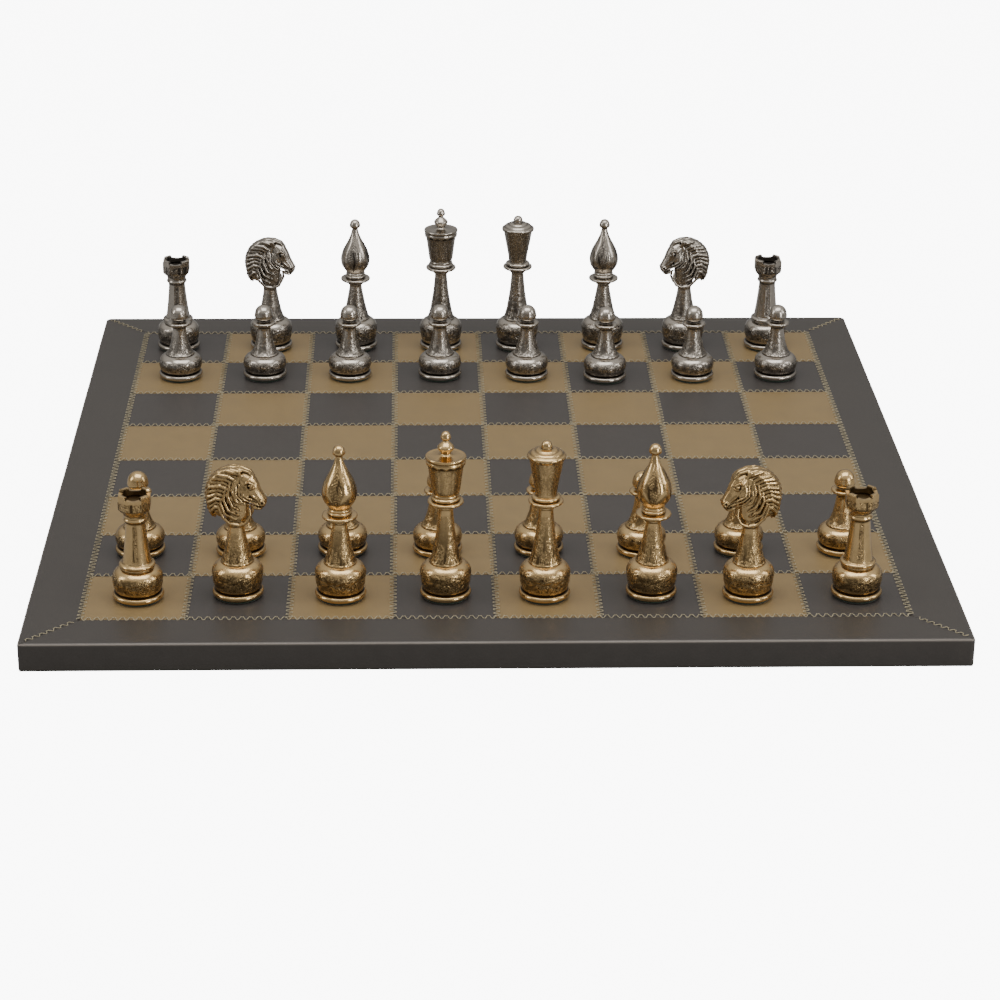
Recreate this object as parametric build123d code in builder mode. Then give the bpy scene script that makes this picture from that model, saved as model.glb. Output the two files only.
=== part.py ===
from build123d import *

import os

os.makedirs("parts", exist_ok=True)

# A chess set on its board. Sizes are in millimetres. The origin is the middle of
# the board's underside, +Z is up, and +Y points from the gold army to the silver.

# --- Board -------------------------------------------------------------------
squares_per_side = 8
square_side = 44.0
border_width = 24.0
board_height = 13.0
leather_thickness = 1.0
corner_radius = 3.0
top_edge_radius = 1.6
bottom_edge_radius = 1.2
turn_under_width = 12.0
lining_thickness = 1.0
lining_gap = 0.5
panel_gap = 0.3

# --- Stitching ---------------------------------------------------------------
stitch_width = 3.0
stitch_height = 0.3
corner_stitch_gap = 1.0
edge_stitch_margin = 3.0

# --- Feet shared by every chessman -------------------------------------------
foot_radius = 11.0
foot_ring_height = 2.4
foot_edge_inset = 0.5
groove_depth = 1.3
groove_height = 0.6
felt_thickness = 1.0
felt_inset = 0.6

# --- Ball bases --------------------------------------------------------------
ball_inset = 0.2
ball_middle_height = 9.8
ball_top_height = 16.2
ball_top_radius = 6.9
pawn_ball_middle_height = 6.9
pawn_ball_top_height = 12.6
stem_lip = 0.3
stem_lip_height = 0.9

# --- Stems, collars and heads ------------------------------------------------
collar_thickness = 1.5
collar_cone = 0.8
collar_bulge = 0.35
neck_ring_height = 1.3
stem_waist_share = 0.3
stem_waist_flare = 0.45
finial_neck_radius = 1.1
finial_seat = 0.3
# Slopes at which an outline leaves one shape for the next, as (outwards, upwards).
straight_up = (0, 1)
straight_down = (0, -1)
stem_foot_slope = (-1, 1)
stem_top_slope = (-0.05, 1)
crown_foot_slope = (0.2, 1)
crown_rim_slope = (0.5, 1)
spindle_foot_slope = (-0.2, 1)
spindle_neck_slope = (-0.3, 1)
dome_edge_slope = (-1, 0.6)
dome_neck_slope = (-0.4, 1)
mitre_foot_slope = (1, 1)
mitre_neck_slope = (-0.25, 1)
cup_foot_slope = (0.3, 1)
cup_rim_slope = (1, 0.3)

king_height = 76.0
king_stem_radius = 3.1
king_collar_radius = 7.7
king_collar_height = 43.4
king_ring_radius = 6.2
king_crown_foot_radius = 5.7
king_crown_radius = 8.7
king_crown_height = 64.9
king_plate_rise = 1.0
king_spindle_foot_radius = 2.0
king_spindle_radius = 3.6
king_finial_radius = 2.0
king_neck_drop = 0.5

queen_height = 72.0
queen_stem_radius = 3.15
queen_collar_radius = 7.5
queen_collar_height = 43.8
queen_ring_radius = 6.2
queen_crown_foot_radius = 4.7
queen_crown_radius = 8.3
queen_crown_height = 65.7
queen_dome_radius = 7.3
queen_dome_rise = 1.2
queen_finial_radius = 2.3

bishop_height = 70.0
bishop_stem_radius = 3.15
bishop_collar_radius = 7.6
bishop_collar_height = 37.2
bishop_ring_radius = 5.2
bishop_mitre_foot_radius = 4.6
bishop_mitre_radius = 7.5
bishop_mitre_middle_height = 49.2
bishop_mitre_neck_radius = 1.6
bishop_mitre_neck_height = 64.9
bishop_finial_radius = 2.6

rook_height = 49.0
rook_stem_radius = 3.8
rook_stem_top_height = 36.2
rook_cup_radius = 7.0
rook_cup_height = 41.2
rook_wall_thickness = 1.8
rook_well_depth = 4.0
rook_notch_width = 7.0
rook_notch_depth = 2.4

pawn_height = 38.7
pawn_stem_radius = 3.3
pawn_collar_radius = 5.9
pawn_collar_height = 28.4
pawn_neck_radius = 2.7
pawn_head_radius = 4.5

knight_height = 60.0
knight_stem_radius = 3.4
knight_stem_top_height = 33.6
knight_thickness = 9.0
# Points of the horse's profile, each as (forwards, above the top of the stem).
knight_throat = (6.4, 4.0)
knight_muzzle = (13.2, 9.0)
knight_forehead = (8.8, 21.4)
knight_poll_forwards = 2.6
knight_crest = (-13.0, 12.0)
knight_mane_end = (-11.0, 2.2)
knight_nape = (-5.2, 1.8)
knight_throat_slope = (1, 0.1)
knight_poll_slope = (-1, 0)
knight_mane_slope = (0.1, -1)

# --- Where the men stand -----------------------------------------------------
# Files run a to h from left to right. Each pair is how far a man stands from the
# middle of its square, along X and Y, as it was set down by hand.
back_rank = ("rook", "knight", "bishop", "king", "queen", "bishop", "knight", "rook")
set_down = {
    ("gold", "officers"): (
        (1.0, -1.0), (-0.5, 1.5), (-0.5, -0.5), (0.5, 0.0),
        (-1.0, -1.0), (1.0, 0.0), (-1.5, -2.0), (1.5, -1.5),
    ),
    ("gold", "pawns"): (
        (-2.0, 2.5), (-1.5, 1.5), (-0.5, 3.0), (-2.5, 2.5), (-1.5, 2.5), (0.0, 1.0), (-0.5, 2.0), (1.5, 1.5),
    ),
    ("silver", "officers"): (
        (-3.5, 0.0), (1.0, 0.0), (1.5, 0.5), (2.0, 0.0), (-2.0, 0.0), (-1.0, 0.5), (-2.5, 0.0), (-3.0, 0.0),
    ),
    ("silver", "pawns"): (
        (0.5, 1.0), (-0.5, 1.0), (-1.0, 0.5), (1.0, 1.0),
        (1.5, 0.0), (-2.5, -3.0), (-1.5, -1.5), (-2.5, -0.5),
    ),
}
rank_of = {("gold", "officers"): 0, ("gold", "pawns"): 1, ("silver", "officers"): 7, ("silver", "pawns"): 6}
# The knights on file b look along +X and those on file g look back along -X.
knight_turn = {"b": -8.0, "g": 188.0}

# --- Worked-out sizes --------------------------------------------------------
field_side = squares_per_side * square_side
board_side = field_side + 2 * border_width
half_board = board_side / 2
half_field = field_side / 2
core_side = board_side - 2 * leather_thickness
core_height = board_height - leather_thickness - lining_thickness
lining_side = board_side - 2 * (leather_thickness + turn_under_width + lining_gap)
ring_top = felt_thickness + foot_ring_height
groove_top = ring_top + groove_height
groove_radius = foot_radius - groove_depth
ball_radius = foot_radius - ball_inset
rook_well_radius = rook_cup_radius - rook_wall_thickness


def save(part, name):
    """Name one finished piece and write it to its own file."""
    part.label = name
    export_step(part, f"parts/{name}.step")


# --- Board core and lining ---------------------------------------------------
with BuildPart() as board_core:
    with BuildSketch(Plane.XY.offset(lining_thickness)):
        RectangleRounded(core_side, core_side, corner_radius - leather_thickness)
    extrude(amount=core_height)
    fillet(board_core.faces().sort_by(Axis.Z)[-1].edges(), top_edge_radius - leather_thickness)
save(board_core.part, "board_core")

with BuildPart() as base_lining:
    with BuildSketch():
        RectangleRounded(lining_side, lining_side, corner_radius)
    extrude(amount=lining_thickness)
save(base_lining.part, "base_lining")

# --- Border: four strips that wrap over the edge and turn under, mitred -------
for turn, side in enumerate(("front", "right", "back", "left")):
    with BuildPart() as border:
        with BuildSketch():
            RectangleRounded(board_side, board_side, corner_radius)
        extrude(amount=board_height)
        fillet(border.faces().sort_by(Axis.Z)[-1].edges(), top_edge_radius)
        fillet(border.faces().sort_by(Axis.Z)[0].edges(), bottom_edge_radius)
        add(board_core.part, mode=Mode.SUBTRACT)
        with BuildSketch(Plane.XY.offset(board_height)):
            Rectangle(field_side, field_side)
        extrude(amount=-leather_thickness, mode=Mode.SUBTRACT)
        with BuildSketch():
            RectangleRounded(lining_side + 2 * lining_gap, lining_side + 2 * lining_gap, corner_radius)
        extrude(amount=lining_thickness, mode=Mode.SUBTRACT)
        with BuildSketch(Plane.XY.rotated((0, 0, 90 * turn))):
            with BuildLine():
                Polyline((0, 0), (-half_board, -half_board), (half_board, -half_board), close=True)
            make_face()
        extrude(amount=board_height, mode=Mode.INTERSECT)
    save(border.part, f"border_{side}")


def square_centre(index):
    """The middle of one file or rank, counted from 0, along X or Y."""
    return (index - (squares_per_side - 1) / 2) * square_side


# --- Playing squares: two sets of leather panels ------------------------------
panel_side = square_side - panel_gap
for shade, parity in (("light", 0), ("dark", 1)):
    centres = [
        (square_centre(file), square_centre(rank))
        for rank in range(squares_per_side)
        for file in range(squares_per_side)
        if (file + rank) % 2 == parity
    ]
    with BuildPart() as panels:
        with BuildSketch(Plane.XY.offset(board_height - leather_thickness)):
            with Locations(*centres):
                Rectangle(panel_side, panel_side)
        extrude(amount=leather_thickness)
    save(panels.part, f"{shade}_squares")

# --- Stitching over every seam ------------------------------------------------
lattice_side = field_side + stitch_width
with BuildPart() as grid_stitching:
    with BuildSketch(Plane.XY.offset(board_height)):
        Rectangle(lattice_side, lattice_side)
        with GridLocations(square_side, square_side, squares_per_side, squares_per_side):
            Rectangle(square_side - stitch_width, square_side - stitch_width, mode=Mode.SUBTRACT)
    extrude(amount=stitch_height)
save(grid_stitching.part, "grid_stitching")

corner_start = half_field + stitch_width / 2 + corner_stitch_gap
corner_end = half_board - edge_stitch_margin
corner_middle = (corner_start + corner_end) / 2
corner_length = (corner_end - corner_start) * 2**0.5
with BuildPart() as corner_stitching:
    with BuildSketch(Plane.XY.offset(board_height)):
        with PolarLocations(corner_middle * 2**0.5, 4, start_angle=45):
            Rectangle(corner_length, stitch_width)
    extrude(amount=stitch_height)
save(corner_stitching.part, "corner_stitching")


# --- Chessmen ----------------------------------------------------------------
# Each man is one casting, turned about its own axis, with height 0 at the square.
# The outline runs from the foot upwards, and each function returns where it ends.

def draw_foot(middle_height, top_height):
    """Foot ring, groove and ball base, up to the lip that the stem stands on."""
    ring_radius = foot_radius - foot_edge_inset
    Line((0, felt_thickness), (ring_radius, felt_thickness))
    edge = (foot_radius, (felt_thickness + ring_top) / 2)
    ThreePointArc((ring_radius, felt_thickness), edge, (ring_radius, ring_top))
    Polyline((ring_radius, ring_top), (groove_radius, ring_top), (groove_radius, groove_top))
    shoulder = (ball_radius, middle_height)
    TangentArc(shoulder, (groove_radius, groove_top), tangent=straight_down)
    TangentArc(shoulder, (ball_top_radius, top_height), tangent=straight_up)
    lip_radius = ball_top_radius + stem_lip
    lip_top = top_height + stem_lip_height
    Polyline((ball_top_radius, top_height), (lip_radius, top_height), (lip_radius, lip_top))
    return (lip_radius, lip_top)


def draw_stem(start, radius, height):
    """Trumpet-shaped stem, wide at the ball base and thin under the head."""
    end = (radius, height)
    waist_height = start[1] + (height - start[1]) * stem_waist_share
    waist = (radius + (start[0] - radius) * stem_waist_flare, waist_height)
    Spline(start, waist, end, tangents=(stem_foot_slope, stem_top_slope))
    return end


def draw_collar(stem_top, radius):
    """Thin round collar with a conical underside."""
    bottom = stem_top[1] + collar_cone
    top = bottom + collar_thickness
    Line(stem_top, (radius, bottom))
    ThreePointArc((radius, bottom), (radius + collar_bulge, (bottom + top) / 2), (radius, top))
    return (radius, top)


def draw_neck_ring(start, ring_radius, neck_radius):
    """Small ring that sits on the collar, under the head."""
    top = start[1] + neck_ring_height
    Polyline(start, (ring_radius, start[1]), (ring_radius, top), (neck_radius, top))
    return (neck_radius, top)


def draw_finial(start, radius, height):
    """Ball at the top of the man, closed down the axis to the foot."""
    side = (radius, height - radius)
    TangentArc(side, start, tangent=straight_down)
    TangentArc(side, (0, height), tangent=straight_up)
    Line((0, height), (0, felt_thickness))


def profile_point(point):
    """A point of the horse's profile, raised to the top of the knight's stem."""
    return (point[0], point[1] + knight_stem_top_height)


castings = {}

with BuildPart() as king:
    with BuildSketch(Plane.XZ):
        with BuildLine():
            lip = draw_foot(ball_middle_height, ball_top_height)
            stem_top = draw_stem(lip, king_stem_radius, king_collar_height - collar_cone)
            collar = draw_collar(stem_top, king_collar_radius)
            foot = draw_neck_ring(collar, king_ring_radius, king_crown_foot_radius)
            rim = (king_crown_radius, king_crown_height)
            Spline(foot, rim, tangents=(crown_foot_slope, crown_rim_slope))
            plate = (king_spindle_foot_radius, king_crown_height + king_plate_rise)
            Line(rim, plate)
            neck = (finial_neck_radius, king_height - 2 * king_finial_radius - king_neck_drop)
            spindle = (king_spindle_radius, (plate[1] + neck[1]) / 2)
            Spline(plate, spindle, neck, tangents=(spindle_foot_slope, spindle_neck_slope))
            draw_finial(neck, king_finial_radius, king_height)
        make_face()
    revolve(axis=Axis.Z)
castings["king"] = king.part

with BuildPart() as queen:
    with BuildSketch(Plane.XZ):
        with BuildLine():
            lip = draw_foot(ball_middle_height, ball_top_height)
            stem_top = draw_stem(lip, queen_stem_radius, queen_collar_height - collar_cone)
            collar = draw_collar(stem_top, queen_collar_radius)
            foot = draw_neck_ring(collar, queen_ring_radius, queen_crown_foot_radius)
            rim = (queen_crown_radius, queen_crown_height)
            Spline(foot, rim, tangents=(crown_foot_slope, crown_rim_slope))
            dome = (queen_dome_radius, queen_crown_height + queen_dome_rise)
            Line(rim, dome)
            neck = (finial_neck_radius, queen_height - 2 * queen_finial_radius + finial_seat)
            Spline(dome, neck, tangents=(dome_edge_slope, dome_neck_slope))
            draw_finial(neck, queen_finial_radius, queen_height)
        make_face()
    revolve(axis=Axis.Z)
castings["queen"] = queen.part

with BuildPart() as bishop:
    with BuildSketch(Plane.XZ):
        with BuildLine():
            lip = draw_foot(ball_middle_height, ball_top_height)
            stem_top = draw_stem(lip, bishop_stem_radius, bishop_collar_height - collar_cone)
            collar = draw_collar(stem_top, bishop_collar_radius)
            foot = draw_neck_ring(collar, bishop_ring_radius, bishop_mitre_foot_radius)
            widest = (bishop_mitre_radius, bishop_mitre_middle_height)
            neck = (bishop_mitre_neck_radius, bishop_mitre_neck_height)
            Spline(foot, widest, neck, tangents=(mitre_foot_slope, mitre_neck_slope))
            draw_finial(neck, bishop_finial_radius, bishop_height)
        make_face()
    revolve(axis=Axis.Z)
castings["bishop"] = bishop.part

with BuildPart() as pawn:
    with BuildSketch(Plane.XZ):
        with BuildLine():
            lip = draw_foot(pawn_ball_middle_height, pawn_ball_top_height)
            stem_top = draw_stem(lip, pawn_stem_radius, pawn_collar_height - collar_cone)
            collar = draw_collar(stem_top, pawn_collar_radius)
            neck = (pawn_neck_radius, collar[1])
            Line(collar, neck)
            draw_finial(neck, pawn_head_radius, pawn_height)
        make_face()
    revolve(axis=Axis.Z)
castings["pawn"] = pawn.part

with BuildPart() as rook:
    with BuildSketch(Plane.XZ):
        with BuildLine():
            lip = draw_foot(ball_middle_height, ball_top_height)
            stem_top = draw_stem(lip, rook_stem_radius, rook_stem_top_height)
            cup = (rook_cup_radius, rook_cup_height)
            Spline(stem_top, cup, tangents=(cup_foot_slope, cup_rim_slope))
            well_floor = rook_height - rook_well_depth
            Polyline(
                cup,
                (rook_cup_radius, rook_height),
                (rook_well_radius, rook_height),
                (rook_well_radius, well_floor),
                (0, well_floor),
                (0, felt_thickness),
            )
        make_face()
    revolve(axis=Axis.Z)
    # Two slots that cross over the well cut the four notches, and leave four merlons.
    with BuildSketch(Plane.XY.offset(rook_height)):
        Rectangle(2 * rook_cup_radius, rook_notch_width)
        Rectangle(rook_notch_width, 2 * rook_cup_radius)
    extrude(amount=-rook_notch_depth, mode=Mode.SUBTRACT)
castings["rook"] = rook.part

with BuildPart() as knight:
    with BuildSketch(Plane.XZ):
        with BuildLine():
            lip = draw_foot(ball_middle_height, ball_top_height)
            stem_top = draw_stem(lip, knight_stem_radius, knight_stem_top_height)
            Polyline(stem_top, (0, knight_stem_top_height), (0, felt_thickness))
        make_face()
    revolve(axis=Axis.Z)
    # The horse's head in profile, muzzle along +X and mane along -X.
    with BuildSketch(Plane.XZ):
        with BuildLine():
            throat = profile_point(knight_throat)
            muzzle = profile_point(knight_muzzle)
            forehead = profile_point(knight_forehead)
            poll = (knight_poll_forwards, knight_height)
            crest = profile_point(knight_crest)
            mane_end = profile_point(knight_mane_end)
            front = (knight_stem_radius, knight_stem_top_height)
            back = (-knight_stem_radius, knight_stem_top_height)
            Line(front, throat)
            Spline(throat, muzzle, forehead, poll, tangents=(knight_throat_slope, knight_poll_slope))
            Spline(poll, crest, mane_end, tangents=(knight_poll_slope, knight_mane_slope))
            Polyline(mane_end, profile_point(knight_nape), back, front)
        make_face()
    extrude(amount=knight_thickness / 2, both=True)
castings["knight"] = knight.part

with BuildPart() as felt_pad:
    with BuildSketch():
        Circle(foot_radius - foot_edge_inset - felt_inset)
    extrude(amount=felt_thickness)


# --- Setting up the two armies ------------------------------------------------
for (army, row), offsets in set_down.items():
    for file, letter in enumerate("abcdefgh"):
        kind = back_rank[file] if row == "officers" else "pawn"
        turn = knight_turn[letter] if kind == "knight" else 0.0
        x = square_centre(file) + offsets[file][0]
        y = square_centre(rank_of[army, row]) + offsets[file][1]
        place = Location((x, y, board_height), (0, 0, turn))
        name = f"{army}_{kind}_{letter}"
        casting = castings[kind].moved(place)
        pad = felt_pad.part.moved(place)
        if kind == "pawn":
            # A pawn's pad is a second solid in the pawn's own node.
            save(Compound(children=[casting, pad]), name)
        else:
            save(casting, name)
            save(pad, f"{name}_felt")
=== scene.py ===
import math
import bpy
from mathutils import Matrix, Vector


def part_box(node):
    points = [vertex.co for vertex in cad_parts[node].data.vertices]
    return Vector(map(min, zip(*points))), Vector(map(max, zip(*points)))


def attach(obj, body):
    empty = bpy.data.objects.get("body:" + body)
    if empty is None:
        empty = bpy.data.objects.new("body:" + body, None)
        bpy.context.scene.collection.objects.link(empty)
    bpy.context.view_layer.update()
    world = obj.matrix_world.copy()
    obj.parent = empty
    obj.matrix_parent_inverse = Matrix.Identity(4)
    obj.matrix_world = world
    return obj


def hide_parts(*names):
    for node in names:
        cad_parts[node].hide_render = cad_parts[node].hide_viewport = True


bl_info = {
    "name": "Metal Chess Set on a Leather Board",
    "version": (1, 0, 0),
    "blender": (4, 5, 0),
    "location": "View3D > Sidebar > Chess Set",
    "description": "Models cast chessmen and a stitched leather chess board around their CAD frame",
    "category": "Object",
}

import bmesh
import bpy
from mathutils import Matrix, Vector, noise

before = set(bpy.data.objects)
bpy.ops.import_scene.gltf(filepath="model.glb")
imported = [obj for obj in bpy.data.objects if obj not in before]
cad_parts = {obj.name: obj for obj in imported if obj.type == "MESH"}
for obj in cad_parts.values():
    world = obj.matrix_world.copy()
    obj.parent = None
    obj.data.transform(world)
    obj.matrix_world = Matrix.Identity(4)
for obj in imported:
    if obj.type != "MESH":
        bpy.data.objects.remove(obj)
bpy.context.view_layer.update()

MM = 0.001
SQUARES = 8
OFFICERS = ("king", "queen", "bishop", "knight", "rook")
PLATING = {"gold": "antique_gold_plating", "silver": "antique_nickel_plating"}

# Sizes that the CAD frame fixes, in millimetres.
BOARD_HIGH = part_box("board_core")[1] / MM
BORDER_LOW, BORDER_HIGH = (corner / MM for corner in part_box("border_front"))
PANEL_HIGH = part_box("light_squares")[1] / MM
LINING_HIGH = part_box("base_lining")[1] / MM
TOP = PANEL_HIGH.z
HALF_BOARD = -BORDER_LOW.y
HALF_FIELD = -BORDER_HIGH.y
SQUARE = 2 * HALF_FIELD / SQUARES
PANEL_GAP = 2 * (HALF_FIELD - PANEL_HIGH.x)
LEATHER = HALF_BOARD - BOARD_HIGH.x

# Heights above the board, in millimetres, between which the stems' streaks of patina fade in.
STREAKS_FADE_IN = (13, 17)
# How many times brighter the border leather's colour is painted along the crest of its rounded upper edge,
# as a painted highlight.
EDGE_SHINE = 5.5


# --- Small helpers ---------------------------------------------------------------


def linear_color(hex_code):
    """sRGB hex, such as 8f7c5c, as a linear RGBA colour."""
    channels = [int(hex_code[i : i + 2], 16) / 255 for i in (0, 2, 4)]
    linear = [c / 12.92 if c <= 0.04045 else ((c + 0.055) / 1.055) ** 2.4 for c in channels]
    return (*linear, 1.0)


def shaded(color, share):
    """A colour made darker, or lighter where the share is over 1."""
    return (*(min(1.0, channel * share) for channel in color[:3]), 1.0)


def smoothstep(low, high, value):
    """0 below low, 1 above high and a smooth ramp between them."""
    share = min(1.0, max(0.0, (value - low) / (high - low)))
    return share * share * (3 - 2 * share)


def band(value, low, high, fade):
    """1 between low and high, fading to 0 outside them."""
    return smoothstep(low - fade, low, value) * (1 - smoothstep(high, high + fade, value))


def to_mesh(name, bm):
    """A bmesh in millimetres as a mesh in metres."""
    bmesh.ops.scale(bm, vec=(MM, MM, MM), verts=bm.verts)
    mesh = bpy.data.meshes.new(name)
    bm.to_mesh(mesh)
    bm.free()
    return mesh


def finish_piece(bm, name, material, replaced):
    """Write a bmesh in millimetres to a new object that rides on the board."""
    place_mesh(to_mesh(name, bm), name, material, "board", replaced)


def place_mesh(mesh, name, material, body, replaced=(), smooth_angle=50.0):
    """Make a mesh in metres an object that rides on a CAD body and stands for CAD nodes."""
    mesh.materials.clear()
    mesh.materials.append(material)
    mesh.polygons.foreach_set("use_smooth", [True] * len(mesh.polygons))
    mesh.set_sharp_from_angle(angle=math.radians(smooth_angle))
    piece = bpy.data.objects.new(name, mesh)
    bpy.context.scene.collection.objects.link(piece)
    if replaced:
        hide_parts(*replaced)
    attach(piece, body)


def put_material(node, material):
    """Give a CAD node that keeps its own shape a finish."""
    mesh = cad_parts[node].data
    mesh.materials.clear()
    mesh.materials.append(material)


# --- Materials -------------------------------------------------------------------


def add_node(tree, kind, settings):
    """Add a shader node and set its fields and sockets. Another node's output is linked."""
    node = tree.nodes.new(kind)
    for key, value in settings.items():
        if isinstance(key, str) and hasattr(node, key):
            setattr(node, key, value)
        elif isinstance(value, bpy.types.NodeSocket):
            tree.links.new(value, node.inputs[key])
        else:
            node.inputs[key].default_value = value
    return node


def calculate(tree, operation, *values):
    """The result of one Math node on numbers or other nodes' outputs."""
    settings = {"operation": operation, **dict(enumerate(values))}
    return add_node(tree, "ShaderNodeMath", settings).outputs[0]


def map_range(tree, value, settings):
    """A value carried from one range to another and clamped to it."""
    return add_node(tree, "ShaderNodeMapRange", {**settings, "Value": value}).outputs["Result"]


def add_noise(tree, place, size_mm, detail, **more):
    """Noise from 0 to 1 whose cells are this many millimetres."""
    settings = {"Scale": per_mm(size_mm), "Detail": detail, "Vector": place, **more}
    return add_node(tree, "ShaderNodeTexNoise", settings).outputs["Fac"]


def vertex_value(tree, name):
    """A number that the mesh keeps for each vertex."""
    return add_node(tree, "ShaderNodeAttribute", {"attribute_name": name}).outputs["Fac"]


def mix_colors(tree, share, first, second):
    """A blend of two colours, all of the second where the share is 1."""
    settings = {"data_type": "RGBA", 0: share, 6: first, 7: second}
    return add_node(tree, "ShaderNodeMix", settings).outputs[2]


def object_place(tree):
    """Where a point of the surface lies on its object, in metres."""
    return add_node(tree, "ShaderNodeTexCoord", {}).outputs["Object"]


def add_bump(tree, shader, height, strength, depth_mm):
    """Bump a shader's surface, by a depth in millimetres."""
    settings = {"Strength": strength, "Distance": depth_mm * MM, "Height": height}
    bump = add_node(tree, "ShaderNodeBump", settings)
    tree.links.new(bump.outputs["Normal"], shader.inputs["Normal"])


def new_material(name, settings):
    """An empty material with one Principled shader that has these settings."""
    material = bpy.data.materials.new(name)
    material.use_nodes = True
    tree = material.node_tree
    tree.nodes.clear()
    shader = add_node(tree, "ShaderNodeBsdfPrincipled", settings)
    add_node(tree, "ShaderNodeOutputMaterial", {"Surface": shader.outputs["BSDF"]})
    return material, tree, shader


def per_mm(size_mm):
    """Texture scale for a pattern whose cells are this many millimetres, on coordinates in metres."""
    return 1 / (size_mm * MM)


def plated_casting(name, bright, patina, roughness):
    """Plated zinc casting, barrel-polished and antiqued: bright on what stands out, dark patina
    left in the engraving and round the rings, and a faint cloudiness in its polish."""
    material, tree, shader = new_material(name, {"Metallic": 1.0, "Roughness": roughness})
    place = object_place(tree)
    # Arabesque engraving: lines about 0.3 mm wide that wind round leaves of 1.6 mm.
    winding = add_noise(tree, place, 1.6, 1.0, Distortion=1.4)
    apart = calculate(tree, "ABSOLUTE", calculate(tree, "SUBTRACT", winding, 0.5))
    line = map_range(tree, apart, {"From Max": 0.085, "To Min": 1.0, "To Max": 0.0})
    # Streaks of patina about a millimetre wide that run up the stem.
    stretch = {"operation": "MULTIPLY", 0: place, 1: (1.0, 1.0, 0.06)}
    drawn = add_node(tree, "ShaderNodeVectorMath", stretch).outputs["Vector"]
    streaks = add_noise(tree, drawn, 1.9, 2.0)
    streak = map_range(tree, streaks, {"From Min": 0.5, "From Max": 0.58, "To Max": 0.85})
    # They start above the ball bases, which are engraved only.
    rise = add_node(tree, "ShaderNodeSeparateXYZ", {"Vector": place}).outputs["Z"]
    low, high = ((TOP + height) * MM for height in STREAKS_FADE_IN)
    upper = map_range(tree, rise, {"From Min": low, "From Max": high})
    tooled = calculate(tree, "MAXIMUM", line, calculate(tree, "MULTIPLY", streak, upper))
    engraved = calculate(tree, "MULTIPLY", tooled, vertex_value(tree, "carving"))
    shade = calculate(tree, "MAXIMUM", engraved, vertex_value(tree, "patina"))
    clouds = add_noise(tree, place, 3.0, 3.0)
    tinted = mix_colors(tree, clouds, shaded(bright, 0.85), shaded(bright, 1.25))
    color = mix_colors(tree, shade, tinted, shaded(patina, 1.0))
    tree.links.new(color, shader.inputs["Base Color"])
    dull = calculate(tree, "MULTIPLY_ADD", clouds, 0.14, roughness - 0.06)
    rough = calculate(tree, "MULTIPLY_ADD", shade, 0.25, dull)
    tree.links.new(rough, shader.inputs["Roughness"])
    # Cast skin: pits of about half a millimetre, the finest that show.
    skin = add_noise(tree, place, 0.5, 2.0)
    add_bump(tree, shader, calculate(tree, "MULTIPLY_ADD", engraved, -1.0, skin), 0.5, 0.12)
    return material


def grained_leather(name, base, roughness):
    """Embossed leatherette, semi-gloss: a fine pebble grain, faint mottling from the backing, a
    slightly polished top coat, and a painted highlight, pale and less rough, along the crest of the board's
    upper edge."""
    coat = {"Specular IOR Level": 0.32, "Coat Weight": 0.05, "Coat Roughness": 0.3}
    material, tree, shader = new_material(name, {"Roughness": roughness, **coat})
    place = object_place(tree)
    mottle = add_noise(tree, place, 9.0, 5.0, Roughness=0.62)
    mottled = mix_colors(tree, mottle, shaded(base, 0.85), shaded(base, 1.15))
    # Painted highlight: the colour is made much brighter along the crest of the board's upper edge, and the
    # leather is also less rough there.
    edge_highlight = vertex_value(tree, "edge_highlight")
    color = mix_colors(tree, edge_highlight, mottled, shaded(base, EDGE_SHINE))
    tree.links.new(color, shader.inputs["Base Color"])
    # Pebble grain is about 0.6 mm on such leatherette; cells of 0.9 mm are the finest that show.
    cells = {"feature": "DISTANCE_TO_EDGE", "Scale": per_mm(0.9), "Vector": place}
    pebbles = add_node(tree, "ShaderNodeTexVoronoi", cells).outputs["Distance"]
    add_bump(tree, shader, map_range(tree, pebbles, {"From Max": 0.25}), 0.22, 0.08)
    gloss = calculate(tree, "MULTIPLY_ADD", mottle, 0.14, roughness - 0.07)
    shine = calculate(tree, "MULTIPLY_ADD", edge_highlight, -0.15, gloss)
    tree.links.new(shine, shader.inputs["Roughness"])
    return material


def fibrous(name, color, fibre_mm, sheen, roughness=0.9):
    """Felt, thread or fibreboard: matte fibres of one size, with painted shade that makes them darker where
    they lie deep.
    """
    cloth = {"Roughness": roughness, "Sheen Weight": sheen, "Sheen Roughness": 0.5}
    material, tree, shader = new_material(name, cloth)
    fibres = add_noise(tree, object_place(tree), fibre_mm, 4.0)
    # Painted shade: the colour follows the same noise as the bump, and is darker where the fibres lie deep.
    mottled = mix_colors(tree, fibres, shaded(color, 0.85), shaded(color, 1.15))
    tree.links.new(mottled, shader.inputs["Base Color"])
    add_bump(tree, shader, fibres, 0.5, 0.15)
    return material


def material_named(name):
    """One of the set's finishes, made once."""
    if name in bpy.data.materials:
        return bpy.data.materials[name]
    finish = bpy.context.scene.chess_finish
    makers = {
        "antique_gold_plating": lambda: plated_casting(name, finish.gold, finish.gold_patina, 0.17),
        "antique_nickel_plating": lambda: plated_casting(name, finish.nickel, finish.nickel_patina, 0.18),
        "tan_leatherette": lambda: grained_leather(name, finish.tan_leather, 0.46),
        "brown_leatherette": lambda: grained_leather(name, finish.brown_leather, 0.44),
        "border_leatherette": lambda: grained_leather(name, finish.border_leather, 0.4),
        "waxed_thread": lambda: fibrous(name, finish.thread, 0.25, 0.1, 0.6),
        "green_felt": lambda: fibrous(name, finish.pad_felt, 0.3, 0.4),
        "black_felt": lambda: fibrous(name, finish.lining_felt, 0.4, 0.4),
        "fibreboard": lambda: fibrous(name, finish.core_board, 0.8, 0.0),
    }
    return makers[name]()


# --- Board -----------------------------------------------------------------------


def seam_roll(distance, settings):
    """How far the leather dips, in millimetres, this far from a seam."""
    return settings.seam_dip * (1 - smoothstep(0.0, settings.seam_width, distance)) ** 1.5


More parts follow.
